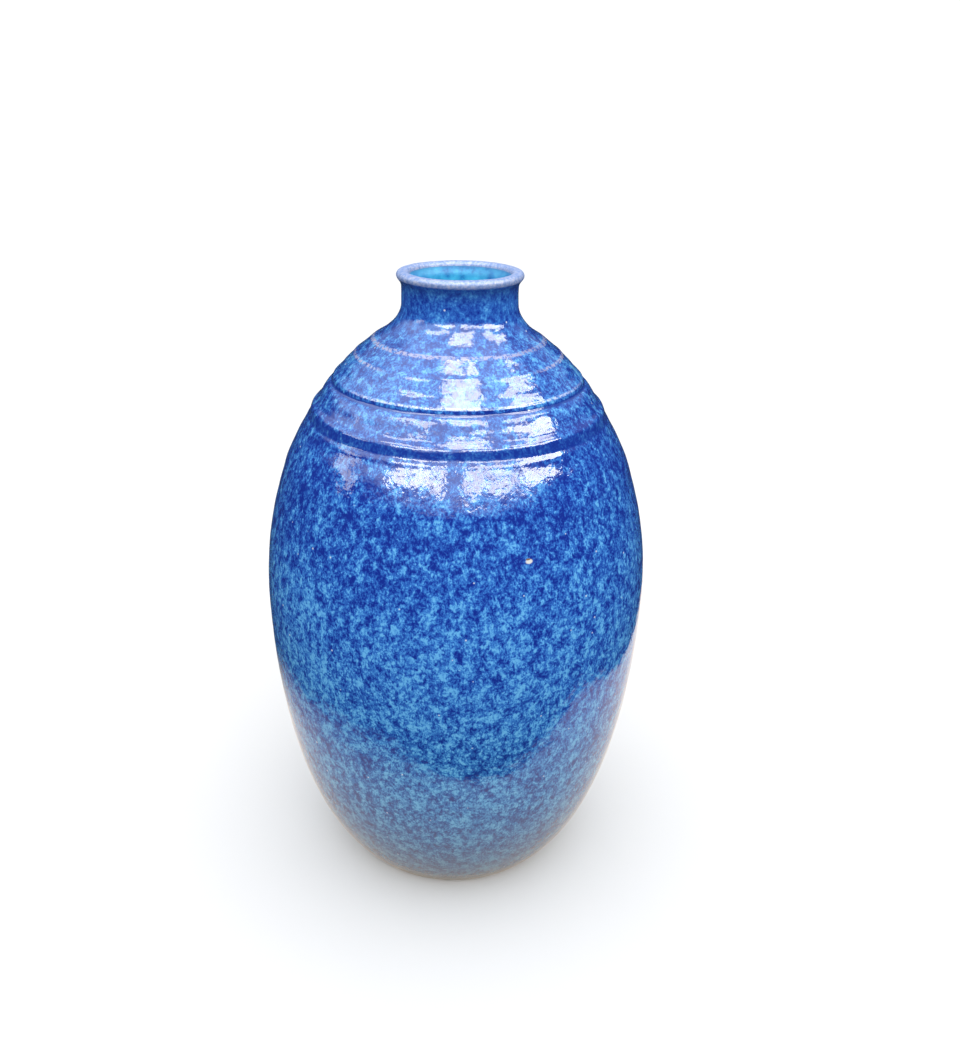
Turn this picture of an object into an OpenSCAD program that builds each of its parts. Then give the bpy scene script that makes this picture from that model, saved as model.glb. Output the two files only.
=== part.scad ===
// Tall stoneware vase, thrown in sections, with turned rings on the shoulder and a rolled lip.
// Millimetres, +Z up. The origin is the middle of the foot, on the table.
// Every piece is a body of revolution about Z, cut from one outline, so the pieces stay matched.

/* [Heights, from the table up] */
// Height of the widest point of the belly
belly_z = 176; // [140:1:215]
// From the widest point up to the seam under the neck
shoulder_h = 151.3; // [125:0.1:185]
// From the neck seam up to where the neck stands straight
neck_turn_h = 15.6; // [12:0.1:20]
// Straight stretch of the neck
neck_straight_h = 9; // [2:0.1:12]
// From the straight stretch up to the edge of the lip
flare_h = 5.6; // [4:0.1:9]

/* [Radii] */
// Outside of the foot, at the table
foot_r = 66.5; // [54:0.5:82]
// Widest radius of the belly
belly_r = 111.2; // [92:0.1:136]
// Outside of the shoulder at the neck seam
neck_seam_r = 42; // [36:0.5:52]
// Straight bore of the throat
throat_r = 26; // [20:0.5:32]
// How far the bore has opened at the inner edge of the lip
lip_ease = 1; // [0.5:0.1:2]
// How far the lip stands out from the neck
lip_flare = 2.6; // [1:0.1:4]

/* [Curves of the side] */
// Lean of the wall where it leaves the foot, in degrees above the table
foot_lean = 46; // [38:1:56]
// Fall of the shoulder at the neck seam, in degrees below level
shoulder_fall = 31.6; // [24:0.1:40]
// How far the first rise carries before it bends, as a share of the belly height
rise_carry = 0.35; // [0.28:0.01:0.4]
// How early the lower wall comes upright, as a share of the belly height
lower_carry = 0.145; // [0.1:0.005:0.22]
// How long the upper wall stays upright, as a share of the shoulder height
upper_carry = 0.485; // [0.4:0.005:0.56]
// How far the shoulder's slope carries down from the neck, as a share of its width
shoulder_carry = 0.6; // [0.5:0.01:0.68]

/* [Clay walls] */
// Thickness of the floor
floor_t = 9; // [7:0.5:13]
// Wall just above the foot
foot_wall = 9; // [7:0.5:11]
// Wall at the widest point
belly_wall = 6; // [4.5:0.5:8]
// Wall at the neck seam
shoulder_wall = 5.2; // [4:0.1:7]
// Wall of the neck at the throat
neck_wall = 4; // [3.4:0.1:6]

/* [Foot ring] */
// Height of the luted ring
ring_h = 8; // [6:0.5:12]
// Width of the ring from its inner face to the outside of the foot
ring_w = 10.5; // [8:0.5:15]
// Height of the recess under the floor
recess_h = 4; // [2:0.5:5]
// Bevel along both edges of the bearing face
ring_bevel = 1; // [0.5:0.1:2]
// Radius of the flat middle of the floor inside
floor_flat_r = 40; // [25:1:50]
// Height on the wall at which the dished floor has become wall
dish_z = 40; // [30:1:60]

/* [Lip, throat and seams] */
// Radius of the roll of the lip
lip_round = 2.5; // [2:0.1:4]
// Depth below the top of the lip at which the straight throat starts
lip_depth = 9.5; // [7:0.5:12]
// Length of the straight throat
throat_len = 12.5; // [10:0.5:16]
// Height of the tongue that keys one thrown section to the next
key_h = 1.6; // [0.8:0.1:2.5]
// Depth below the neck seam of the seam between shoulder and belly
seam_drop = 42.1; // [34:0.1:52]

/* [Glaze] */
// Thickness of the outside glaze
glaze_t = 0.8; // [0.5:0.1:1.2]
// Thickness of the lining glaze
liner_t = 0.6; // [0.4:0.1:1]
// Height of bare clay left above the table
bare_h = 2.5; // [1.5:0.5:5]

/* [Hidden] */

clay_colour = [0.72, 0.64, 0.53];
outer_colour = [0.13, 0.33, 0.72];
liner_colour = [0.20, 0.66, 0.88];

// Turned rings: [drop below the neck seam, depth, half width]. A depth below zero is a raised ring.
rings = [
    [2.9, -0.4, 1],
    [9.5, 0.2, 4],
    [10.7, -0.45, 1],
    [18.5, 0.3, 0.9],
    [22.9, -0.45, 1.1],
    [24.8, 1, 1.2],
    [33.5, 0.35, 2.6],
    [36.1, 0.3, 0.9],
    [39.3, -0.6, 2.4],
    [seam_drop, 1.5, 1.6],
    [48.3, 0.45, 5],
    [69, -0.45, 7]
];

seam_z = belly_z + shoulder_h;
neck_z = seam_z + neck_turn_h;
flare_z = neck_z + neck_straight_h;
lip_z = flare_z + flare_h;
neck_r = throat_r + liner_t + neck_wall + glaze_t;
lip_r = neck_r + lip_flare;
lip_inner_r = throat_r + lip_ease;
roll_r = min(lip_round, (lip_r - lip_inner_r) / 2);
height = lip_z + roll_r;
throat_top = height - lip_depth;
throat_foot = throat_top - throat_len;
ring_inner_r = foot_r - ring_w;
floor_top = recess_h + floor_t;

// How far a short curve's ends carry before it bends: at its lower end, and at its upper end
neck_carry = [0.37, 0.47];
flare_carry = [0.5, 0.32];
lip_carry = [0.5, 0.4];
throat_carry = [0.4, 0.4];
dish_carry = 0.5;
// Where the tongue of a seam starts and ends, as shares of the wall from its outside
tongue = [0.3, 0.7];

// Points per curve, and steps in the search for a height
curve_n = 28;
ring_zone_n = 64;
roll_n = 10;
foot_n = 4;
search_n = 30;
round_fn = 180;
// Points closer than this are one point
same_point = 0.001;

function mix(a, b, s) = a + (b - a) * s;
function unit(v) = v / norm(v);
function steps(from, to, n) = [for (i = [0 : n]) mix(from, to, i / n)];
function backwards(list) = [for (i = [len(list) - 1 : -1 : 0]) list[i]];

// A curve is four control points of a cubic Bezier, which runs upward.
function at(c, t) =
    pow(1 - t, 3) * c[0] + 3 * pow(1 - t, 2) * t * c[1] + 3 * (1 - t) * t * t * c[2] + pow(t, 3) * c[3];
function along(c, t) =
    unit(pow(1 - t, 2) * (c[1] - c[0]) + 2 * (1 - t) * t * (c[2] - c[1]) + t * t * (c[3] - c[2]));
function outward(c, t) = let (d = along(c, t)) [d.y, -d.x];

// Where on a curve a height is reached
function t_at(c, z, lo = 0, hi = 1, n = search_n) =
    let (mid = (lo + hi) / 2)
    n == 0 ? mid : at(c, mid).y < z ? t_at(c, z, mid, hi, n - 1) : t_at(c, z, lo, mid, n - 1);

lower = [
    [foot_r, 0],
    [foot_r, 0] + rise_carry * belly_z * [cos(foot_lean), sin(foot_lean)],
    [belly_r, belly_z - lower_carry * belly_z],
    [belly_r, belly_z]
];
fall = [cos(shoulder_fall), -sin(shoulder_fall)];
upper = [
    [belly_r, belly_z],
    [belly_r, belly_z + upper_carry * shoulder_h],
    [neck_seam_r, seam_z] + shoulder_carry * (belly_r - neck_seam_r) * fall,
    [neck_seam_r, seam_z]
];
neck_turn = [
    [neck_seam_r, seam_z],
    [neck_seam_r, seam_z] - neck_carry[0] * (neck_seam_r - neck_r) * fall,
    [neck_r, neck_z - neck_carry[1] * neck_turn_h],
    [neck_r, neck_z]
];
flare = [
    [neck_r, flare_z],
    [neck_r, flare_z + flare_carry[0] * flare_h],
    [lip_r, lip_z - flare_carry[1] * flare_h],
    [lip_r, lip_z]
];

function bump(x) = exp(-x * x);
function turning(z) = [for (r = rings) r[1] * bump((seam_z - r[0] - z) / r[2])] * [for (r = rings) 1];
function wall(c, t) = c == lower ? mix(foot_wall, belly_wall, t) : mix(belly_wall, shoulder_wall, t);

// The outside, sunk along its own normal by depth; and the inside of the clay, raised by depth
function outside(c, t, depth) = at(c, t) - outward(c, t) * (turning(at(c, t).y) + depth);
function inside(c, t, depth) = at(c, t) - outward(c, t) * (glaze_t + wall(c, t) + depth);
function outside_run(c, from, to, n, depth) = [for (t = steps(from, to, n)) outside(c, t, depth)];
function inside_run(c, from, to, n, depth) = [for (t = steps(from, to, n)) inside(c, t, depth)];

// Stations on the outline: the top of the foot ring, the end of the dished floor, and the belly seam
ring_t = t_at(lower, ring_h);
dish_t = t_at(lower, dish_z);
bare_t = t_at(lower, bare_h);
belly_seam_t = t_at(upper, seam_z - seam_drop);
// The bare clay at the table and at the level joint on top of the foot ring
bare_foot = outside(lower, 0, glaze_t);
ring_joint = outside(lower, ring_t, glaze_t);

// Inside of the lip, and the turn from the throat to the shoulder, as raised by depth into the hollow
function lip_inside(depth) = [
    [throat_r + liner_t - depth, throat_top],
    [throat_r + liner_t - depth, mix(throat_top, lip_z, lip_carry[0])],
    [lip_inner_r + liner_t - depth, mix(lip_z, throat_top, lip_carry[1])],
    [lip_inner_r + liner_t - depth, lip_z]
];
neck_inside = let (start = inside(upper, 1, 0), reach = throat_foot - start.y) [
    start,
    start - throat_carry[0] * (start.x - throat_r) * fall,
    [throat_r + liner_t, throat_foot - throat_carry[1] * reach],
    [throat_r + liner_t, throat_foot]
];
function neck_inside_run(depth) =
    [for (t = steps(0, 1, curve_n)) at(neck_inside, t) - outward(neck_inside, t) * depth];

// The floor, flat in the middle and dished up into the wall, from the axis outward
function dish_run(depth) =
    let (
        end = inside(lower, dish_t, 0),
        reach = dish_carry * (end.x - floor_flat_r),
        dish = [
            [floor_flat_r, floor_top],
            [floor_flat_r + reach, floor_top],
            end - reach * along(lower, dish_t),
            end
        ]
    )
    concat(
        [[0, floor_top + depth]],
        [for (t = steps(0, 1, curve_n)) at(dish, t) - outward(dish, t) * depth]
    );

// Half of the roll of the lip, out to in, sunk by depth
function arc(centre, r, from, to) =
    [for (a = steps(from, to, roll_n)) centre + r * [cos(a), sin(a)]];
function roll(depth) = concat(
    arc([lip_r - roll_r, lip_z], roll_r - depth, 0, 90),
    arc([lip_inner_r + roll_r, lip_z], roll_r - depth, 90, 180)
);

// A seam between two sections, from the outside of the clay to its inside, with its tongue upward
function seam(t) =
    let (out = outside(upper, t, glaze_t), in = inside(upper, t, 0), up = key_h * along(upper, t))
    [out, mix(out, in, tongue[0]), mix(out, in, 0.5) + up, mix(out, in, tongue[1]), in];

// The neck and lip outside the clay or the glaze, from the neck seam up and over the lip
function neck_outside(depth) = concat(
    outside_run(neck_turn, 0, 1, curve_n, depth),
    [for (t = steps(0, 1, curve_n)) at(flare, t) - outward(flare, t) * depth],
    roll(depth)
);
function throat_run(depth) = concat(
    neck_inside_run(depth),
    [for (t = steps(0, 1, roll_n)) at(lip_inside(depth), t)]
);

// An outline with its repeated points taken out, turned about the axis
function distinct(points) =
    [for (i = [0 : len(points) - 1])
        if (i == 0 || norm(points[i] - points[max(i - 1, 0)]) > same_point) points[i]];
module revolve(points) {
    rotate_extrude($fn = round_fn)
        polygon(distinct(points));
}

// Bare ring that the vase stands on, luted round the floor and cut to the line of the wall
module foot_ring() {
    color(clay_colour)
        revolve(concat(
            [[ring_inner_r, ring_joint.y], [ring_inner_r, ring_bevel], [ring_inner_r + ring_bevel, 0]],
            [[bare_foot.x - ring_bevel, 0]],
            outside_run(lower, 0, bare_t, foot_n, glaze_t),
            outside_run(lower, bare_t, ring_t, foot_n, glaze_t)
        ));
}

// Floor and belly in one throwing: its floor drops inside the foot ring, its rim carries the tongue
module lower_body() {
    color(clay_colour)
        revolve(concat(
            [[0, recess_h], [ring_inner_r, recess_h], [ring_inner_r, ring_joint.y]],
            outside_run(lower, ring_t, 1, curve_n, glaze_t),
            outside_run(upper, 0, belly_seam_t, curve_n, glaze_t),
            seam(belly_seam_t),
            backwards(inside_run(upper, 0, belly_seam_t, curve_n, 0)),
            backwards(inside_run(lower, dish_t, 1, curve_n, 0)),
            backwards(dish_run(0))
        ));
}

// Ringed shoulder, from the deepest groove up to the root of the neck
module shoulder() {
    color(clay_colour)
        revolve(concat(
            outside_run(upper, belly_seam_t, 1, ring_zone_n, glaze_t),
            seam(1),
            backwards(inside_run(upper, belly_seam_t, 1, curve_n, 0)),
            backwards(seam(belly_seam_t))
        ));
}

// Neck and rolled lip, with the straight throat through it
module neck_collar() {
    color(clay_colour)
        revolve(concat(
            neck_outside(glaze_t),
            backwards(throat_run(0)),
            backwards(seam(1))
        ));
}

// Turquoise glaze that lines the hollow from the inner edge of the lip down over the floor
function lining(depth) = concat(
    dish_run(depth),
    inside_run(lower, dish_t, 1, curve_n, depth),
    inside_run(upper, 0, belly_seam_t, curve_n, depth),
    inside_run(upper, belly_seam_t, 1, curve_n, depth),
    throat_run(depth)
);
module liner_glaze() {
    color(liner_colour)
        revolve(concat(lining(0), backwards(lining(liner_t))));
}

// Blue mottled glaze over the outside, from just above the foot to the inner edge of the lip
function coat(depth) = concat(
    outside_run(lower, bare_t, ring_t, foot_n, depth),
    outside_run(lower, ring_t, 1, curve_n, depth),
    outside_run(upper, 0, belly_seam_t, curve_n, depth),
    outside_run(upper, belly_seam_t, 1, ring_zone_n, depth),
    neck_outside(depth)
);
module outer_glaze() {
    color(outer_colour)
        revolve(concat(coat(0), backwards(coat(glaze_t))));
}

foot_ring();
lower_body();
shoulder();
neck_collar();
liner_glaze();
outer_glaze();
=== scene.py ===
"""A tall stoneware vase, thrown in sections and glazed blue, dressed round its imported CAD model."""

import math

import bpy
import numpy as np
from mathutils import Matrix, Vector, noise


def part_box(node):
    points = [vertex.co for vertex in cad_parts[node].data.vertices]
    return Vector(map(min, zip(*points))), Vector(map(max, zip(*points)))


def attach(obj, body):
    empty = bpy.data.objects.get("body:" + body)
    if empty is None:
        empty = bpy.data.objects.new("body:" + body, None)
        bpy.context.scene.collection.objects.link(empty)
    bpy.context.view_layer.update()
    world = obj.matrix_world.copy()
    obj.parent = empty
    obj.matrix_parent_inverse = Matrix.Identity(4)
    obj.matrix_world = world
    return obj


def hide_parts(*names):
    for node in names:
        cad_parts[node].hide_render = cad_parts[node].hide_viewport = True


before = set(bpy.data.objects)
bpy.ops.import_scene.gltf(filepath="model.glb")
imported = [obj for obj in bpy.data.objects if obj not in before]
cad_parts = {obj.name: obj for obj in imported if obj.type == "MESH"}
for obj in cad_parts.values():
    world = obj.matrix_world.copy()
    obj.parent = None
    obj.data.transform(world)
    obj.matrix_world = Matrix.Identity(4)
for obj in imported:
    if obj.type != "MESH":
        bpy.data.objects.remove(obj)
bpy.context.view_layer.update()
mm = 0.001

# ---------------------------------------------------------------------------------------------
# Foot ring
# A ring of buff stoneware, luted under the floor on the upturned pot and turned true with a
# loop tool, which leaves fine rings. It is left bare so that it does not stick to the kiln shelf.
# ---------------------------------------------------------------------------------------------


def section_of(node):
    """The points (radius, height) round a turned piece's section, in order, from its CAD mesh."""
    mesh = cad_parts[node].data
    place = {}
    for v in mesh.vertices:
        if abs(v.co.y) < 1e-7 and v.co.x >= 0:
            place[v.index] = (round(v.co.x / 1e-7), round(v.co.z / 1e-7))
    links = {}
    for edge in mesh.edges:
        a, b = (place.get(i) for i in edge.vertices)
        if a is not None and b is not None and a != b:
            links.setdefault(a, set()).add(b)
            links.setdefault(b, set()).add(a)
    ends = [p for p in links if len(links[p]) == 1]
    if ends:
        walk = [max(ends, key=lambda p: p[1])]
    else:
        walk = [min(links, key=lambda p: (p[1], -p[0]))]
    last = None
    while True:
        onward = sorted((p for p in links[walk[-1]] if p != last), reverse=True)
        if not onward or onward[0] == walk[0]:
            break
        last = walk[-1]
        walk.append(onward[0])
    points = np.array(walk, float) * 1e-7
    if ends:
        points = np.vstack([[0, points[0][1]], points, [0, points[-1][1]]])
    return points


def lengths_along(points):
    """The distance along a run of points at each of them."""
    return np.concatenate([[0], np.cumsum(np.linalg.norm(np.diff(points, axis=0), axis=1))])


def straight_run(points, step):
    """A run of points with more put in along each straight, so that it can be tooled."""
    run = [points[0]]
    for a, b in zip(points, points[1:]):
        n = max(1, math.ceil(np.linalg.norm(b - a) / step))
        run += [a + (b - a) * i / n for i in range(1, n + 1)]
    return np.array(run)


def outward_of(run):
    """The unit normal of a run in its own plane, to the right of the way it goes."""
    along = np.gradient(run, axis=0)
    along /= np.maximum(np.linalg.norm(along, axis=1, keepdims=True), 1e-12)
    return np.stack([along[:, 1], -along[:, 0]], 1)


def turn_on_wheel(name, sections, closed, marks=None):
    """A mesh turned about the axis. sections holds (radius, height) for each row and each step
    round, so that a piece may be a little out of true. Rows on the axis become one point."""
    rows, around = sections.shape[:2]
    angle = np.arange(around) * 2 * math.pi / around
    co, row_start, values = [], [], []
    for i in range(rows):
        row_start.append(len(co))
        if np.all(sections[i, :, 0] < 1e-9):
            co.append((0, 0, sections[i, 0, 1]))
            values.append(0 if marks is None else marks[i, 0])
        else:
            r, z = sections[i, :, 0], sections[i, :, 1]
            co += list(zip(r * np.sin(angle), -r * np.cos(angle), z))
            values += [0] * around if marks is None else list(marks[i])
    row_size = np.diff(row_start + [len(co)])
    faces = []
    for i in range(rows if closed else rows - 1):
        k = (i + 1) % rows
        this, after = row_start[i], row_start[k]
        if row_size[i] == 1 and row_size[k] == 1:
            continue
        for j in range(around):
            j2 = (j + 1) % around
            if row_size[i] == 1:
                faces.append((this, after + j2, after + j))
            elif row_size[k] == 1:
                faces.append((this + j, this + j2, after))
            else:
                faces.append((this + j, this + j2, after + j2, after + j))
    mesh = bpy.data.meshes.new(name)
    mesh.from_pydata(co, [], faces)
    mesh.polygons.foreach_set("use_smooth", [True] * len(faces))
    if marks is not None:
        mesh.attributes.new("pool", "FLOAT", "POINT").data.foreach_set("value", values)
    mesh.update()
    outline = sections[:, 0]
    ahead, behind = np.roll(outline, -1, axis=0) - outline, outline - np.roll(outline, 1, axis=0)
    size = np.linalg.norm(ahead, axis=1) * np.linalg.norm(behind, axis=1)
    sharpest_smooth = math.cos(math.radians(35))
    corner = (ahead * behind).sum(1) < sharpest_smooth * size
    if not closed:
        corner[[0, -1]] = False
    row_of = np.repeat(np.arange(rows), row_size)
    ends = np.zeros(len(mesh.edges) * 2, int)
    mesh.edges.foreach_get("vertices", ends)
    low_row, high_row = row_of[ends[::2]], row_of[ends[1::2]]
    sharp = (low_row == high_row) & corner[low_row]
    mesh.attributes.new("sharp_edge", "BOOLEAN", "EDGE").data.foreach_set("value", sharp)
    piece = bpy.data.objects.new(name, mesh)
    bpy.context.scene.collection.objects.link(piece)
    return piece


def all_round(run, around):
    """The same section at every step round."""
    return np.repeat(run[:, None, :], around, axis=1)


class Recipe:
    """The nodes of a material or of the studio's light, put together one by one."""

    def __init__(self, block):
        block.use_nodes = True
        self.block = block
        self.tree = block.node_tree

    def measure(self):
        """Start from the place on the piece, in millimetres."""
        self.shader = self.tree.nodes["Principled BSDF"]
        place = self.add("ShaderNodeTexCoord").outputs["Object"]
        self.place = self.vector("SCALE", place, scale=1 / mm)
        return self

    def put(self, socket, value):
        if isinstance(value, bpy.types.NodeSocket):
            self.tree.links.new(value, socket)
        else:
            socket.default_value = value

    def add(self, kind, **settings):
        node = self.tree.nodes.new(kind)
        for key, value in settings.items():
            setattr(node, key, value)
        return node

    def vector(self, operation, a, b=None, scale=None):
        node = self.add("ShaderNodeVectorMath", operation=operation)
        self.put(node.inputs[0], a)
        if b is not None:
            self.put(node.inputs[1], b)
        if scale is not None:
            self.put(node.inputs["Scale"], scale)
        return node.outputs[0]

    def reckon(self, operation, a, b=0.0):
        node = self.add("ShaderNodeMath", operation=operation)
        self.put(node.inputs[0], a)
        self.put(node.inputs[1], b)
        return node.outputs[0]

    def times(self, a, b):
        return self.reckon("MULTIPLY", a, b)

    def plus(self, a, b):
        return self.reckon("ADD", a, b)

    def less(self, a, b):
        return self.reckon("SUBTRACT", a, b)

    def part(self, axis, vector=None):
        """How far along one axis a place is."""
        split = self.add("ShaderNodeSeparateXYZ")
        self.put(split.inputs[0], self.place if vector is None else vector)
        return split.outputs[axis]

    def near(self, centre, reach):
        """One at a place given in millimetres, falling to nothing at reach, which has three axes."""
        away = self.vector("SUBTRACT", self.place, centre)
        scaled = self.vector("DIVIDE", away, reach)
        length = self.add("ShaderNodeVectorMath", operation="LENGTH")
        self.put(length.inputs[0], scaled)
        return self.ease(length.outputs["Value"], 0.6, 1.0, 1, 0)

    def dot(self, a, b):
        node = self.add("ShaderNodeVectorMath", operation="DOT_PRODUCT")
        self.put(node.inputs[0], a)
        self.put(node.inputs[1], b)
        return node.outputs["Value"]

    def cloud(self, size, detail=2.0, rough=0.5, place=None, stretch=1.0):
        """Noise whose patches are about size millimetres across, and stretch times as tall."""
        at = self.vector("MULTIPLY", self.place if place is None else place, (1, 1, 1 / stretch))
        node = self.add("ShaderNodeTexNoise")
        self.put(node.inputs["Vector"], at)
        node.inputs["Scale"].default_value = 1 / size
        node.inputs["Detail"].default_value = detail
        node.inputs["Roughness"].default_value = rough
        return node

    def spots(self, spacing, place=None):
        """The distance in cells from the nearest of many scattered points, and each one's chance."""
        node = self.add("ShaderNodeTexVoronoi")
        self.put(node.inputs["Vector"], self.place if place is None else place)
        node.inputs["Scale"].default_value = 1 / spacing
        return node.outputs["Distance"], node.outputs["Color"]

    def ease(self, value, low, high, to_low=0.0, to_high=1.0):
        node = self.add("ShaderNodeMapRange", interpolation_type="SMOOTHSTEP")
        for socket, given in zip(node.inputs, (value, low, high, to_low, to_high)):
            self.put(socket, given)
        return node.outputs[0]

    def blend(self, share, a, b):
        node = self.add("ShaderNodeMix", data_type="RGBA")
        for i, given in ((0, share), (6, a), (7, b)):
            self.put(node.inputs[i], given)
        return node.outputs[2]

    def shades(self, value, stops):
        node = self.add("ShaderNodeValToRGB")
        self.put(node.inputs[0], value)
        ramp = node.color_ramp
        while len(ramp.elements) < len(stops):
            ramp.elements.new(0.5)
        for element, (at, colour) in zip(ramp.elements, stops):
            element.position, element.color = at, colour
        return node.outputs[0]

    def relief(self, height, depth, under=None):
        """Fine relief of depth millimetres, on top of any relief under it."""
        node = self.add("ShaderNodeBump")
        node.inputs["Strength"].default_value = 1.0
        node.inputs["Distance"].default_value = depth * mm
        self.put(node.inputs["Height"], height)
        if under is not None:
            self.put(node.inputs["Normal"], under)
        return node.outputs[0]

    def pool(self):
        return self.add("ShaderNodeAttribute", attribute_name="pool").outputs["Fac"]

    def finish(self, colour, roughness, normal=None):
        self.put(self.shader.inputs["Base Color"], colour)
        self.put(self.shader.inputs["Roughness"], roughness)
        if normal is not None:
            self.put(self.shader.inputs["Normal"], normal)
        return self.block


def material_of(name):
    return Recipe(bpy.data.materials.new(name)).measure()


def shade(r, g, b):
    """A colour given as a paint chart gives it, 0 to 255, as linear light."""
    linear = [c / 255 / 12.92 if c <= 10 else ((c / 255 + 0.055) / 1.055) ** 2.4 for c in (r, g, b)]
    return (*linear, 1)


def bare_clay(name, tooling):
    """Fired stoneware with iron specks and fine grog, dragged by the tool in marks tooling mm wide."""
    clay = material_of(name)
    body = clay.cloud(9, detail=5, rough=0.6).outputs["Fac"]
    colour = clay.shades(
        body, [(0.3, shade(122, 104, 84)), (0.5, shade(158, 138, 112)), (0.7, shade(184, 166, 138))]
    )
    distance, chance = clay.spots(1.6)
    lucky = clay.ease(chance, 0.62, 0.66)
    speck = clay.times(clay.ease(distance, 0.16, 0.3, 1, 0), lucky)
    colour = clay.blend(speck, colour, shade(66, 48, 36))
    grain = clay.cloud(0.7, detail=3, rough=0.7).outputs["Fac"]
    gritty = clay.relief(grain, 0.12)
    dragged = clay.cloud(tooling, detail=3, rough=0.6).outputs["Fac"]
    dull = clay.ease(grain, 0.3, 0.7, 0.62, 0.82)
    return clay.finish(colour, dull, clay.relief(dragged, 0.1, gritty))


steps_round = 360
tool_depth = 0.06 * mm
tool_pitch = 1.5 * mm
ring_section = section_of("foot_ring")
ring_run = straight_run(np.vstack([ring_section, ring_section[:1]]), 0.7 * mm)[:-1]
ring_out = outward_of(ring_run)
ring_tooling = tool_depth * np.sin(lengths_along(ring_run) / tool_pitch * 2 * math.pi)
on_table = ring_run[:, 1] < 0.05 * mm
hidden_joint = ring_run[:, 1] > ring_run[:, 1].max() - 0.3 * mm
ring_tooling[on_table | hidden_joint] = 0
ring_run = ring_run - ring_out * np.abs(ring_tooling)[:, None]
foot_ring = turn_on_wheel("turned_foot_ring", all_round(ring_run, steps_round), closed=True)
foot_ring.data.materials.append(bare_clay("bare_foot_clay", 3))
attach(foot_ring, "root")
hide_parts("foot_ring")

# ---------------------------------------------------------------------------------------------
# Belly, shoulder and neck
# Three thrown sections of the same stoneware, luted wet at tongue-and-groove seams. The glaze
# hides them all but for the floor's underside, which shows inside the foot ring.
# ---------------------------------------------------------------------------------------------

belly_run = straight_run(section_of("lower_body"), 4 * mm)
lower_body = turn_on_wheel("thrown_belly", all_round(belly_run, steps_round // 2), closed=False)
body_clay = bare_clay("body_clay", 4)
lower_body.data.materials.append(body_clay)
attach(lower_body, "root")
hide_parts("lower_body")
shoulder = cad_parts["shoulder"]
shoulder.data.materials.clear()
shoulder.data.materials.append(body_clay)

rim_drop = 0.3 * mm
neck_lean = 0.45 * mm
neck_root = 6 * mm
lean_height = 9 * mm
round_step = np.arange(steps_round) * 2 * math.pi / steps_round
rim_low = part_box("shoulder")[1].z + neck_root
rim_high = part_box("neck_collar")[1].z


def settled(sections):
    """The same rows with the neck a little out of true, as the wet clay settled: its rim has sunk
    on the left, and the whole neck stands slightly to the right."""
    share = np.clip((sections[:, :, 1] - rim_low) / (rim_high - rim_low), 0, 1)
    lean = np.clip((sections[:, :, 1] - rim_low + neck_root) / lean_height, 0, 1)
    lean = neck_lean * lean**2 * (3 - 2 * lean)
    sections = sections.copy()
    sections[:, :, 1] -= rim_drop * share**2 * (1 - np.sin(round_step))[None, :] / 2
    sections[:, :, 0] += lean * np.sin(round_step)[None, :]
    return sections


neck_section = section_of("neck_collar")
neck_run = straight_run(np.vstack([neck_section, neck_section[:1]]), 2.5 * mm)[:-1]
neck_collar = turn_on_wheel("thrown_neck", settled(all_round(neck_run, steps_round)), closed=True)
neck_collar.data.materials.append(body_clay)
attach(neck_collar, "root")
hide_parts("neck_collar")

# ---------------------------------------------------------------------------------------------
# Outside glaze
# A thick cobalt glaze, mottled with turquoise, over the whole outside and the lip. It pools dark
# in the turned grooves, breaks pale on the ridges and the lip, and its skin is lightly hammered.
# ---------------------------------------------------------------------------------------------


def smooth_run(points, spacing):
    """A run through the points on a smooth curve, with spacing(height) between its own points."""
    s = lengths_along(points)
    slope = np.gradient(points, s, axis=0)
    stops = [0.0]
    while stops[-1] < s[-1]:
        stops.append(stops[-1] + spacing(np.interp(stops[-1], s, points[:, 1])))
    stops = np.array(stops) * s[-1] / stops[-1]
    k = np.clip(np.searchsorted(s, stops, side="right") - 1, 0, len(s) - 2)
    span = (s[k + 1] - s[k])[:, None]
    t = ((stops - s[k])[:, None]) / span
    near, far = 2 * t**3 - 3 * t**2 + 1, 3 * t**2 - 2 * t**3
    leave, reach = t**3 - 2 * t**2 + t, t**3 - t**2
    return near * points[k] + far * points[k + 1] + span * (leave * slope[k] + reach * slope[k + 1])


def softened(values, s, width):
    """A run of values averaged over about width on either side."""
    weight = np.exp(-(((s[:, None] - s[None, :]) / width) ** 2))
    return weight @ values / weight.sum(1, keepdims=True)


def thinned(points):
    """Every third point of a smooth hidden run, with all its corners."""
    corner = math.radians(12)
    way = np.diff(points, axis=0)
    turn = np.abs(np.diff(np.unwrap(np.arctan2(way[:, 1], way[:, 0]))))
    kept = np.arange(len(points)) % 3 == 0
    kept[[0, -1]] = True
    kept[1:-1] |= turn > corner
    return points[kept]


coat_section = section_of("outer_glaze")
lip_edge = int(np.argmin(coat_section[:, 0]))
coat_outside = coat_section[: lip_edge + 1]
coat_inside = coat_section[lip_edge + 1 :]
shoulder_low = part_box("shoulder")[0].z
shoulder_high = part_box("shoulder")[1].z
neck_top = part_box("neck_collar")[1].z


def coat_spacing(z):
    """Close steps over the rings and the lip, and wide ones on the plain wall."""
    if shoulder_low - 4 * mm < z < shoulder_high + 4 * mm:
        return 0.85 * mm
    return 0.8 * mm if z > neck_top - 12 * mm else 2.1 * mm


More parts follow.
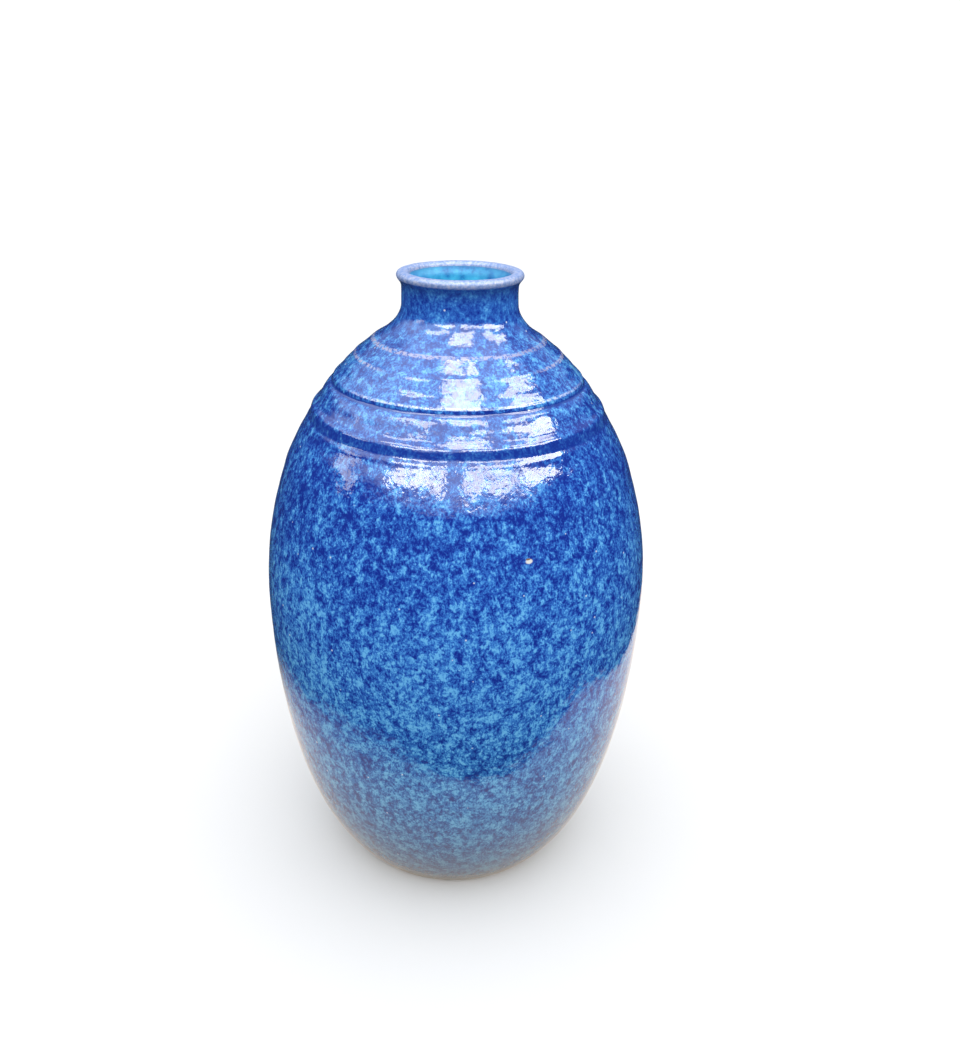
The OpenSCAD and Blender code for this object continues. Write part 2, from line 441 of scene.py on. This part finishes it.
coat_run = smooth_run(coat_outside, coat_spacing)
rising = coat_run[: int(np.argmax(coat_run[:, 1]))]
seam_foot = shoulder_low + 0.1 * mm
seam_top = shoulder_low + 6.2 * mm
pool_rise = 1.3 * mm
pool_depth = 0.95 * mm
wall_low, wall_high = np.interp([seam_foot, seam_top], rising[:, 1], rising[:, 0])
pooled = np.interp(
    rising[:, 1],
    [seam_foot, seam_foot + pool_rise, seam_top],
    [wall_low, wall_low - pool_depth, wall_high + 0.1 * mm],
)
in_groove = (rising[:, 1] > seam_foot) & (rising[:, 1] < seam_top)
rising[in_groove, 0] = np.maximum(rising[in_groove, 0], pooled[in_groove])
coat_s = lengths_along(coat_run)
ring_zone = (coat_run[:, 1] > shoulder_low - 8 * mm) & (coat_run[:, 1] < shoulder_high)
coat_run[ring_zone] = softened(coat_run, coat_s, 0.9 * mm)[ring_zone]
coat_out = outward_of(coat_run)
ring_depth = ((softened(coat_run, coat_s, 6 * mm) - coat_run) * coat_out).sum(1)
ring_depth[coat_run[:, 1] > shoulder_high + 3 * mm] = 0
top_ring = (coat_run[:, 1] > shoulder_high - 8 * mm) & (coat_run[:, 1] < shoulder_high + 4 * mm)
coat_run[top_ring] = softened(coat_run, coat_s, 2.4 * mm)[top_ring]
edge_fade = np.clip(coat_s / (4 * mm), 0, 1) * np.clip((coat_s[-1] - coat_s) / (5 * mm), 0, 1)

coat_rows = all_round(coat_run, steps_round)
pool_marks = np.zeros(coat_rows.shape[:2])
for i, (r, z) in enumerate(coat_run):
    for j, a in enumerate(round_step):
        x, y = r * math.sin(a), -r * math.cos(a)
        at = Vector((x, y, z)) / mm
        out_of_round = 0.25 * noise.noise(Vector((math.sin(a), math.cos(a), z / 0.12)) * 0.9)
        ring_swing = 1 + 0.25 * noise.noise(Vector((math.sin(a) * 2.2, math.cos(a) * 2.2, z / 0.03)))
        hammer = 0.12 * noise.noise(at / 7.5) + 0.04 * noise.noise(at / 3.4 + Vector((7, 3, 1)))
        dip = ring_depth[i] * (ring_swing - 1) + (0.2 - out_of_round - hammer) * mm * edge_fade[i]
        coat_rows[i, j] -= coat_out[i] * dip
        pool_marks[i, j] = (ring_depth[i] * ring_swing) / mm
coat_back = all_round(thinned(coat_inside), steps_round)
coat_marks = np.vstack([pool_marks, np.zeros(coat_back.shape[:2])])
coat_shell = settled(np.concatenate([coat_rows, coat_back]))
outer_glaze = turn_on_wheel("mottled_blue_glaze", coat_shell, closed=True, marks=coat_marks)


def grey(level):
    return (level, level, level, 1)


coat = material_of("mottled_blue_glaze")
x = coat.part("X")
z = coat.part("Z")
seam = shoulder_low / mm
root = shoulder_high / mm
lip = neck_top / mm
pot_height = 360
pooled_cobalt = shade(20, 50, 140)

# Mottle: ragged blotches, short strokes and a few dark dots, quieter on the neck.
warp = coat.cloud(5, detail=1).outputs["Color"]
drift = coat.vector("MULTIPLY_ADD", warp, (3, 3, 3))
drift.node.inputs[2].default_value = (-1.5, -1.5, -1.5)
run_place = coat.vector("ADD", coat.place, drift)
blotch = coat.cloud(5.2, detail=3, rough=0.9, place=run_place, stretch=1.2).outputs["Fac"]
stroke = coat.cloud(1.1, detail=1, rough=0.8, stretch=1.5).outputs["Fac"]
drift_cloud = coat.cloud(30, detail=1, rough=0.5).outputs["Fac"]
light_by_height = coat.shades(
    coat.ease(z, 0, pot_height),
    [
        (0, grey(0.525)),
        (0.45, grey(0.54)),
        (0.62, grey(0.52)),
        (0.71, grey(0.482)),
        (0.82, grey(0.465)),
        (0.9, grey(0.465)),
        (0.95, grey(0.515)),
        (0.98, grey(0.492)),
        (1, grey(0.5)),
    ],
)
tone = coat.plus(blotch, coat.times(coat.less(stroke, 0.5), 0.35))
dot_far, dot_chance = coat.spots(7, place=run_place)
dot = coat.times(coat.ease(dot_far, 0.12, 0.36, 1, 0), coat.ease(dot_chance, 0.3, 0.6))
tone = coat.less(tone, coat.times(dot, 0.06))
tone = coat.less(tone, 0.5)
on_neck = coat.ease(z, root - 2, root + 12)
tone = coat.times(tone, coat.ease(on_neck, 0, 1, 1, 0.6))
tone = coat.plus(tone, coat.times(coat.less(drift_cloud, 0.5), 0.07))
tone = coat.plus(tone, light_by_height)

# Its colours, greener and greyer towards the foot, where the coat is thin, and darker there as painted
# shade where less light reaches the lower body.
high_colour = coat.shades(
    tone,
    [
        (0.37, shade(20, 44, 138)),
        (0.42, shade(27, 62, 154)),
        (0.48, shade(40, 88, 176)),
        (0.53, shade(50, 110, 193)),
        (0.59, shade(72, 142, 212)),
        (0.67, shade(102, 176, 228)),
    ],
)
low_colour = coat.shades(
    tone,
    [
        (0.37, shade(20, 52, 122)),
        (0.42, shade(26, 70, 138)),
        (0.48, shade(38, 94, 158)),
        (0.53, shade(50, 114, 174)),
        (0.59, shade(74, 144, 194)),
        (0.67, shade(104, 174, 212)),
    ],
)
glaze_colour = coat.blend(coat.ease(z, 70, 190), low_colour, high_colour)
# Greyer and darker towards the foot: partly a thin coat, partly painted shade.
thin_foot_and_shade = coat.ease(z, 4, 95, 0.5, 0)
glaze_colour = coat.blend(thin_foot_and_shade, glaze_colour, shade(104, 110, 104))
glaze_colour = coat.blend(coat.ease(z, 3, 24, 0.7, 0), glaze_colour, shade(112, 108, 98))

# Dark where the glaze pools in the grooves. Under the lip the dark band is partly pooled glaze and partly
# painted shade.
pool = coat.pool()
glaze_colour = coat.blend(coat.ease(pool, 0.12, 0.5, 0, 0.9), glaze_colour, pooled_cobalt)
in_seam = coat.times(coat.ease(z, seam + 0.3, seam + 1.3), coat.ease(z, seam + 6.8, seam + 5.4))
glaze_colour = coat.blend(coat.times(in_seam, 0.6), glaze_colour, pooled_cobalt)
# Painted shade, together with pooled glaze, in a band under the lip.
under_lip_pool_and_shade = coat.ease(z, lip - 14, lip - 5, 0, 0.5)
glaze_colour = coat.blend(under_lip_pool_and_shade, glaze_colour, shade(26, 50, 106))

# Pale where it breaks over the turned rings, with painted highlights where the ring crests and the ridge
# above the upper groove catch the light.
broken = coat.ease(coat.cloud(1.8, detail=2, rough=0.7).outputs["Fac"], 0.4, 0.58, 0, 0.8)
# Pale crest lines: partly glaze breaking on the ring crests, partly painted highlight, placed only on the
# sides where the crests catch the light.
first_ring_highlight = coat.ease(z, root - 7, root - 5)
first_ring_highlight = coat.times(first_ring_highlight, coat.ease(x, 62, 20))
side_highlight = coat.ease(coat.reckon("ABSOLUTE", x), 34, 48)
ring_highlight_side = coat.reckon("MAXIMUM", first_ring_highlight, side_highlight)
crest_break_and_highlight = coat.times(coat.ease(coat.times(pool, -1.0), 0.14, 0.28), broken)
crest_break_and_highlight = coat.times(crest_break_and_highlight, coat.ease(z, root - 16, root - 13))
glaze_colour = coat.blend(coat.times(crest_break_and_highlight, ring_highlight_side), glaze_colour, shade(178, 172, 196))
# Painted highlight: a thin pale line along the ridge above the upper groove, across the front, where the
# ridge catches the light.
highlight_ridge_z = seam + 22.9
on_highlight_ridge = coat.ease(coat.reckon("ABSOLUTE", coat.less(z, highlight_ridge_z)), 0.2, 0.85, 1, 0)
highlight_ridge_side = coat.times(coat.ease(x, -62, -40), coat.ease(x, 72, 50))
edge = coat.times(coat.times(on_highlight_ridge, highlight_ridge_side), coat.plus(broken, 0.05))
glaze_colour = coat.blend(edge, glaze_colour, shade(196, 208, 240))

# Pale specks, and one popped bubble that has left a pale pit with a brown top edge.
speck_far, speck_chance = coat.spots(9)
speck = coat.times(coat.ease(speck_far, 0.04, 0.075, 1, 0), coat.ease(speck_chance, 0.45, 0.5))
glaze_colour = coat.blend(speck, glaze_colour, shade(196, 206, 222))
pit_turn = math.radians(20.3)
pit_height = 237
pit_out = np.interp(pit_height * mm, rising[:, 1], rising[:, 0]) / mm
pit_place = (pit_out * math.sin(pit_turn), -pit_out * math.cos(pit_turn), pit_height)
pit_top = (pit_place[0] - 0.5, pit_place[1], pit_place[2] + 1.0)
pit = coat.near(pit_place, (2.3, 2.3, 1.5))
glaze_colour = coat.blend(pit, glaze_colour, shade(214, 214, 214))
glaze_colour = coat.blend(coat.near(pit_top, (1.6, 2.0, 0.6)), glaze_colour, shade(128, 100, 78))

# The lip, where the coat is thinnest, is speckled and duller.
rim_speckle = coat.cloud(1.6, detail=3, rough=0.6).outputs["Fac"]
rim_colour = coat.shades(
    rim_speckle, [(0.36, shade(98, 124, 180)), (0.5, shade(126, 148, 194)), (0.64, shade(164, 170, 196))]
)
on_rim = coat.ease(z, lip - 3.9, lip - 2.6)
glaze_colour = coat.blend(on_rim, glaze_colour, rim_colour)
fine = coat.cloud(1.3, detail=2, rough=0.5).outputs["Fac"]
skin = coat.relief(fine, 0.04)
skin = coat.relief(coat.cloud(4.0, detail=2, rough=0.5).outputs["Fac"], 0.14, skin)
gloss = coat.ease(on_rim, 0, 1, 0.05, 0.48)
outer_glaze.data.materials.append(coat.finish(glaze_colour, gloss, skin))
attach(outer_glaze, "root")
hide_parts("outer_glaze")

# ---------------------------------------------------------------------------------------------
# Lining glaze
# A thin turquoise glaze, poured in and out, which lines the hollow from the inner edge of the
# lip down over the floor.
# ---------------------------------------------------------------------------------------------

lining_section = section_of("liner_glaze")
lining_edge = int(np.argmax(lining_section[:, 1]))
hollow_side = lining_section[: lining_edge + 1]
clay_side = lining_section[lining_edge + 1 :]


def lining_spacing(z):
    """Close steps in the mouth, and wide ones in the hollow below."""
    return 1.0 * mm if z > neck_top - 45 * mm else 4 * mm


lining_run = smooth_run(hollow_side, lining_spacing)
lining_out = outward_of(lining_run)
lining_s = lengths_along(lining_run)
lining_fade = np.clip((lining_s[-1] - lining_s) / (6 * mm), 0, 1) * np.clip(lining_s / (30 * mm), 0, 1)
lining_rows = all_round(lining_run, steps_round)
for i, (r, z) in enumerate(lining_run):
    for j, a in enumerate(round_step):
        at = Vector((r * math.sin(a), -r * math.cos(a), z)) / mm
        wave = 0.16 * noise.noise(at / 9) + 0.10 * math.sin(z / (7 * mm) * 2 * math.pi + a)
        lining_rows[i, j] -= lining_out[i] * wave * mm * lining_fade[i]
lining_back = all_round(thinned(clay_side), steps_round)
lining_shell = settled(np.concatenate([lining_rows, lining_back]))
liner_glaze = turn_on_wheel("turquoise_lining", lining_shell, closed=False)

lining = material_of("turquoise_lining_glaze")
z = lining.part("Z")
wash = lining.cloud(11, detail=4, rough=0.6).outputs["Fac"]
lining_colour = lining.shades(
    wash, [(0.36, shade(38, 112, 190)), (0.46, shade(60, 170, 224)), (0.62, shade(86, 206, 244))]
)
# Painted shade: the lining darker towards the left and right of the mouth, on the throat's sides.
throat_side_shade = lining.ease(lining.reckon("ABSOLUTE", lining.part("X")), 8, 25, 0, 0.5)
lining_colour = lining.blend(throat_side_shade, lining_colour, shade(36, 112, 190))
lining_rim = lining.ease(z, lip - 3.2, lip - 1.6, 0, 0.5)
lining_colour = lining.blend(lining_rim, lining_colour, shade(80, 136, 190))
ripple = lining.relief(lining.cloud(4, detail=2).outputs["Fac"], 0.12)
lining_gloss = lining.ease(z, lip - 9, lip - 4, 0.1, 0.5)
liner_glaze.data.materials.append(lining.finish(lining_colour, lining_gloss, ripple))
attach(liner_glaze, "root")
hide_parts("liner_glaze")

# ---------------------------------------------------------------------------------------------
# Floor, light and camera
# A plain pale floor under soft studio light. Only the gloss shows what the glaze mirrors: a buff
# board that the vase stands on, the dark floor beyond it, and a hazy sky with windows in it.
# ---------------------------------------------------------------------------------------------


def matte(name, colour):
    material = bpy.data.materials.new(name)
    material.use_nodes = True
    shader = material.node_tree.nodes["Principled BSDF"]
    shader.inputs["Base Color"].default_value = colour
    shader.inputs["Roughness"].default_value = 0.9
    shader.inputs["Specular IOR Level"].default_value = 0.0
    return material


def glowing(name, radiance):
    material = matte(name, (0, 0, 0, 1))
    shader = material.node_tree.nodes["Principled BSDF"]
    shader.inputs["Emission Color"].default_value = (1, 1, 1, 1)
    shader.inputs["Emission Strength"].default_value = radiance
    material.cycles.emission_sampling = "NONE"
    return material


def stage_mesh(name, co, faces, material):
    mesh = bpy.data.meshes.new(name)
    mesh.from_pydata(co, [], faces)
    mesh.materials.append(material)
    thing = bpy.data.objects.new(name, mesh)
    bpy.context.scene.collection.objects.link(thing)
    return thing


studio_radius = 8
studio_steps = 96


def circle(radius, z):
    turns = [2 * math.pi * i / studio_steps for i in range(studio_steps)]
    return [(radius * math.cos(t), radius * math.sin(t), z) for t in turns]


def seen_only_in(thing, *rays):
    for ray in ("camera", "diffuse", "glossy", "shadow", "transmission"):
        setattr(thing, "visible_" + ray, ray in rays)


floor_matte = matte("pale_floor", (0.76, 0.76, 0.76, 1))
floor = stage_mesh("floor", circle(studio_radius, 0), [tuple(range(studio_steps))], floor_matte)
seen_only_in(floor, "camera", "shadow")

buff = (0.9, 0.79, 0.68, 1)
dark = (0.02, 0.03, 0.05, 1)
board_height = 0.0006
board_corners = [(0.23, 0.4), (0.29, 0.0), (0.285, -0.105), (0.23, -0.139), (0.114, -0.168), (0.0, -0.194)]
board_corners += [(-0.13, -0.208), (-0.2, -0.16), (-0.245, -0.08), (-0.255, 0.05), (-0.27, 0.4)]
board_count = len(board_corners)
board_top = [(x, y, board_height) for x, y in board_corners]
board_matte = matte("buff_board", buff)
board = stage_mesh("board", board_top, [tuple(range(board_count))[::-1]], board_matte)
wood = Recipe(board_matte).measure()
span = wood.add("ShaderNodeVectorMath", operation="LENGTH")
wood.put(span.inputs[0], wood.vector("DIVIDE", wood.place, (265, 225, 1e6)))
shaded = wood.ease(span.outputs["Value"], 0.62, 1.15)
shaded = wood.times(shaded, wood.ease(wood.part("X"), 60, -40))
wood.put(wood.shader.inputs["Base Color"], wood.blend(shaded, buff, dark))
mat_reach = 40
beyond = [(x * mat_reach, (y - 0.1) * mat_reach, board_height) for x, y in board_corners]
mat_faces = []
for i in range(board_count):
    k = (i + 1) % board_count
    mat_faces.append((i, k, board_count + k, board_count + i))
mat = stage_mesh("studio_dark", board_top + beyond, mat_faces, matte("dark_floor", dark))
seen_only_in(board, "glossy")
seen_only_in(mat, "glossy")


def dome(name, low, high, radiance):
    """A band of the great round backdrop, between two heights given in degrees."""
    bands = 8
    co = []
    for degrees in np.linspace(low, high, bands + 1):
        e = math.radians(degrees)
        co += circle(studio_radius * math.cos(e), studio_radius * math.sin(e))
    faces = []
    for k in range(bands):
        below = studio_steps * k
        above = studio_steps * (k + 1)
        for i in range(studio_steps):
            j = (i + 1) % studio_steps
            faces.append((below + i, below + j, above + j, above + i))
    return stage_mesh(name, co, faces, glowing(name, radiance))


seen_only_in(dome("backdrop", 0, 89.9, 1.35), "camera", "diffuse")
seen_only_in(dome("underglow", -89.9, 0, 0.22), "diffuse")

world = bpy.data.worlds.new("studio")
bpy.context.scene.world = world
world.cycles_visibility.camera = False
world.cycles_visibility.diffuse = False
sky = Recipe(world)
unlit = (0.05, 0.07, 0.11, 1)
haze = (3.7, 4.5, 5.4, 1)
overhead_haze = (3.4, 4.3, 5.7, 1)
look = sky.add("ShaderNodeTexCoord").outputs["Generated"]
aside = sky.plus(sky.part("Y", look), sky.times(sky.part("X", look), 0.45))
front = sky.ease(aside, 0.6, -0.5, 0.14, 1)
height = sky.plus(sky.part("Z", look), sky.ease(sky.part("Y", look), -0.2, 0.6, 0, 0.2))
above = sky.ease(height, 0.36, 0.58)
sky_colour = sky.blend(sky.times(front, above), unlit, haze)
sky_colour = sky.blend(sky.ease(sky.part("Z", look), 0.66, 0.92), sky_colour, overhead_haze)
wide_waver = sky.cloud(0.16, detail=3, rough=0.65, place=look).outputs["Color"]
waver = sky.vector("SCALE", sky.vector("SUBTRACT", wide_waver, (0.5, 0.5, 0.5)), scale=0.2)
ragged = sky.vector("ADD", look, waver)
gaps = sky.ease(sky.cloud(0.1, detail=2, rough=0.6, place=ragged).outputs["Fac"], 0.38, 0.41)


def toward(azimuth, elevation):
    """The way out from the vase: azimuth 0 is in front of it, and 90 is to its right."""
    a, e = math.radians(azimuth), math.radians(elevation)
    return Vector((math.sin(a) * math.cos(e), -math.cos(a) * math.cos(e), math.sin(e)))


def window(colour, azimuth, elevation, wide, tall, radiance, lean):
    """The sky's colour with a bright window put in, its edge torn by leaves. wide and tall are the
    degrees that it fills, and lean is how far its right end drops."""
    a, tip = math.radians(azimuth), math.radians(lean)
    out = toward(azimuth, elevation)
    across = Vector((math.cos(a), math.sin(a), 0))
    upward = out.cross(across)
    inside = gaps
    depth = sky.reckon("MAXIMUM", sky.dot(ragged, out), 0.05)
    for axis, angle in (
        (across * math.cos(tip) - upward * math.sin(tip), wide),
        (upward * math.cos(tip) + across * math.sin(tip), tall),
    ):
        off = sky.reckon("ABSOLUTE", sky.reckon("DIVIDE", sky.dot(ragged, axis), depth))
        half = math.tan(math.radians(angle / 2))
        inside = sky.times(inside, sky.ease(off, half + 0.012, half - 0.012))
    return sky.blend(inside, colour, (radiance, radiance, radiance * 0.93, 1))


for azimuth, elevation, wide, tall, radiance, lean in (
    (12, 70, 25, 36, 18, 0),  # overhead
    (-31, 36.5, 34, 8, 21, -7),  # left
    (-52, 53, 30, 12, 15, 0),  # high on the left
    (25, 36.8, 32, 9, 17, 5),  # right
    (69, 34, 36, 10.5, 20, 10),  # far right
    (82, 52, 34, 14, 15, 0),  # high on the far right
    (-86, 22, 22, 8, 6, 0),  # low on the far left
):
    sky_colour = window(sky_colour, azimuth, elevation, wide, tall, radiance, lean)
sky.put(sky.tree.nodes["Background"].inputs["Color"], sky_colour)

aim = Vector((0, 0, 0.2))
lamp_distance = 3


def fill(name, azimuth, elevation, side, radiance):
    """A soft square light aimed at the vase, which the glaze does not mirror."""
    light = bpy.data.lights.new(name, "AREA")
    light.shape = "SQUARE"
    light.size = side
    light.energy = radiance * math.pi * side**2
    lamp = bpy.data.objects.new(name, light)
    bpy.context.scene.collection.objects.link(lamp)
    way = toward(azimuth, elevation)
    lamp.location = aim + way * lamp_distance
    lamp.rotation_euler = way.to_track_quat("Z", "Y").to_euler()
    seen_only_in(lamp, "diffuse", "shadow")


fill("top_fill", 20, 70, 2.8, 0.55)
fill("front_fill", 15, 25, 2.0, 1.6)

camera_data = bpy.data.cameras.new("camera")
camera_data.sensor_width = 36
camera_data.lens = 32.6
camera = bpy.data.objects.new("camera", camera_data)
bpy.context.scene.collection.objects.link(camera)
pan, tilt, roll = math.radians(1.52), math.radians(24.86), math.radians(1.216)
ahead = Vector((math.sin(pan) * math.cos(tilt), math.cos(pan) * math.cos(tilt), -math.sin(tilt)))
level_right = Vector((math.cos(pan), -math.sin(pan), 0))
upright = level_right.cross(ahead)
right = level_right * math.cos(roll) + upright * math.sin(roll)
up = upright * math.cos(roll) - level_right * math.sin(roll)
camera_place = (0, -0.5159, 0.4482)
camera_axes = [(right[i], up[i], -ahead[i], camera_place[i]) for i in range(3)]
camera.matrix_world = Matrix(camera_axes + [(0, 0, 0, 1)])
bpy.context.scene.camera = camera
bpy.context.scene.view_settings.view_transform = "Standard"
